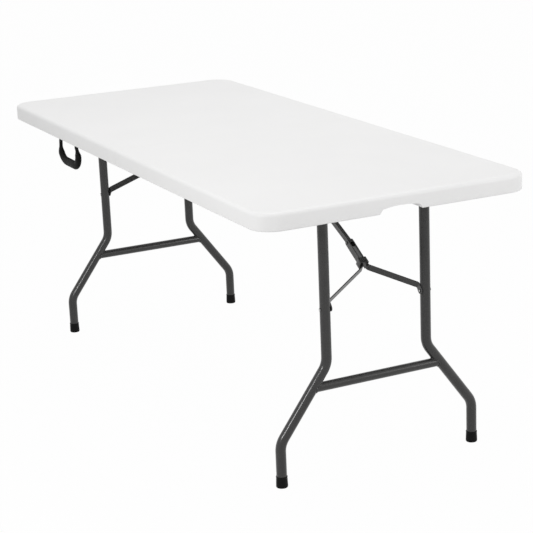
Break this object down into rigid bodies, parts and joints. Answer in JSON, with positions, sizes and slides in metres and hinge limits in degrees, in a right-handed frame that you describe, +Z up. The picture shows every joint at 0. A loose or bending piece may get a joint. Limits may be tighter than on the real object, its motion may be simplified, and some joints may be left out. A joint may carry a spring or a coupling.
{
  "type": "folding table",
  "caption": "Rectangular folding table whose white moulded top folds in half, on two folding wishbone leg frames with locking braces and a carrying handle",
  "frame": {"origin": "on the floor under the centre of the open table's box", "axes": "+Z up, +X towards the end of the near half, along the table's length, and -Y towards the long side with the carrying handle"},
  "size_m": [1.8, 0.76, 0.745],
  "materials": {
    "tabletop": "white blow-moulded polyethylene with a fine pebbled grain",
    "frame_steel": "charcoal powder coat on steel tube and strip",
    "foot_cap": "black moulded plastic",
    "black_plastic": "black moulded plastic",
    "handle_grip": "black soft ribbed grip",
    "lock_ring": "black coated steel",
    "zinc": "bright zinc plate"
  },
  "bodies": {
    "near_half": {"near_top": "tabletop", "near_panel_screws": "zinc", "near_link_bracket": "frame_steel", "near_link_pin": "zinc", "near_rail_left": "frame_steel", "near_rail_right": "frame_steel", "near_pivot_bush_left": "black_plastic", "near_pivot_bush_right": "black_plastic", "hinge_plate_left": "frame_steel", "hinge_plate_right": "frame_steel", "hinge_pin_left": "zinc", "hinge_pin_right": "zinc", "hinge_rivets": "zinc"},
    "far_half": {"far_top": "tabletop", "far_panel_screws": "zinc", "far_link_bracket": "frame_steel", "far_link_pin": "zinc", "far_rail_left": "frame_steel", "far_rail_right": "frame_steel", "far_pivot_bush_left": "black_plastic", "far_pivot_bush_right": "black_plastic", "far_handle_pins": "zinc"},
    "near_legs": {"near_pivot_tube": "frame_steel", "near_pivot_end_plugs": "black_plastic", "near_leg_left": "frame_steel", "near_leg_right": "frame_steel", "near_crossbar": "frame_steel", "near_foot_cap_left": "foot_cap", "near_foot_cap_right": "foot_cap", "near_leg_rivets": "zinc"},
    "near_brace": {"near_brace_strip_left": "frame_steel", "near_brace_strip_right": "frame_steel", "near_knee_rivets": "zinc"},
    "near_ring": {"near_lock_ring": "lock_ring"},
    "near_link": {"near_upper_link": "frame_steel"},
    "far_legs": {"far_pivot_tube": "frame_steel", "far_pivot_end_plugs": "black_plastic", "far_leg_left": "frame_steel", "far_leg_right": "frame_steel", "far_crossbar": "frame_steel", "far_foot_cap_left": "foot_cap", "far_foot_cap_right": "foot_cap", "far_leg_rivets": "zinc"},
    "far_brace": {"far_brace_strip_left": "frame_steel", "far_brace_strip_right": "frame_steel", "far_knee_rivets": "zinc"},
    "far_ring": {"far_lock_ring": "lock_ring"},
    "far_link": {"far_upper_link": "frame_steel"},
    "handle": {"far_handle": "handle_grip"}
  },
  "joints": [
    {"name": "centre_fold", "type": "hinge", "parent": "near_half", "child": "far_half", "pos_m": [0, 0, 0.7], "axis": [0, -1, 0], "range_deg": [0, 35]},
    {"name": "near_legs_fold", "type": "hinge", "parent": "near_half", "child": "near_legs", "pos_m": [0.765, 0, 0.715], "axis": [0, 1, 0], "range_deg": [0, 90]},
    {"name": "near_brace_fold", "type": "hinge", "parent": "near_legs", "child": "near_brace", "pos_m": [0.765, 0, 0.445], "axis": [0, 1, 0], "range_deg": [0, 46.08]},
    {"name": "near_link_fold", "type": "hinge", "parent": "near_half", "child": "near_link", "pos_m": [0.322, 0, 0.712], "axis": [0, -1, 0], "range_deg": [0, 26.14]},
    {"name": "near_ring_slide", "type": "slide", "parent": "near_brace", "child": "near_ring", "axis": [-0.8521, 0, 0.5234], "range_m": [0, 0.054]},
    {"name": "far_legs_fold", "type": "hinge", "parent": "far_half", "child": "far_legs", "pos_m": [-0.73, 0, 0.715], "axis": [0, -1, 0], "range_deg": [0, 90]},
    {"name": "far_brace_fold", "type": "hinge", "parent": "far_legs", "child": "far_brace", "pos_m": [-0.73, 0, 0.445], "axis": [0, -1, 0], "range_deg": [0, 46.08]},
    {"name": "far_link_fold", "type": "hinge", "parent": "far_half", "child": "far_link", "pos_m": [-0.287, 0, 0.712], "axis": [0, 1, 0], "range_deg": [0, 26.14]},
    {"name": "far_ring_slide", "type": "slide", "parent": "far_brace", "child": "far_ring", "axis": [0.8521, 0, 0.5234], "range_m": [0, 0.054]},
    {"name": "handle_swing", "type": "hinge", "parent": "far_half", "child": "handle", "pos_m": [-0.404, -0.371, 0.704], "axis": [1, 0, 0], "range_deg": [-25, 25]}
  ],
  "couplings": [
    {"joint": "near_brace_fold", "follows": "near_legs_fold", "ratio": 0.51193},
    {"joint": "near_link_fold", "follows": "near_legs_fold", "ratio": 0.29048},
    {"joint": "far_brace_fold", "follows": "far_legs_fold", "ratio": 0.51193},
    {"joint": "far_link_fold", "follows": "far_legs_fold", "ratio": 0.29048}
  ]
}
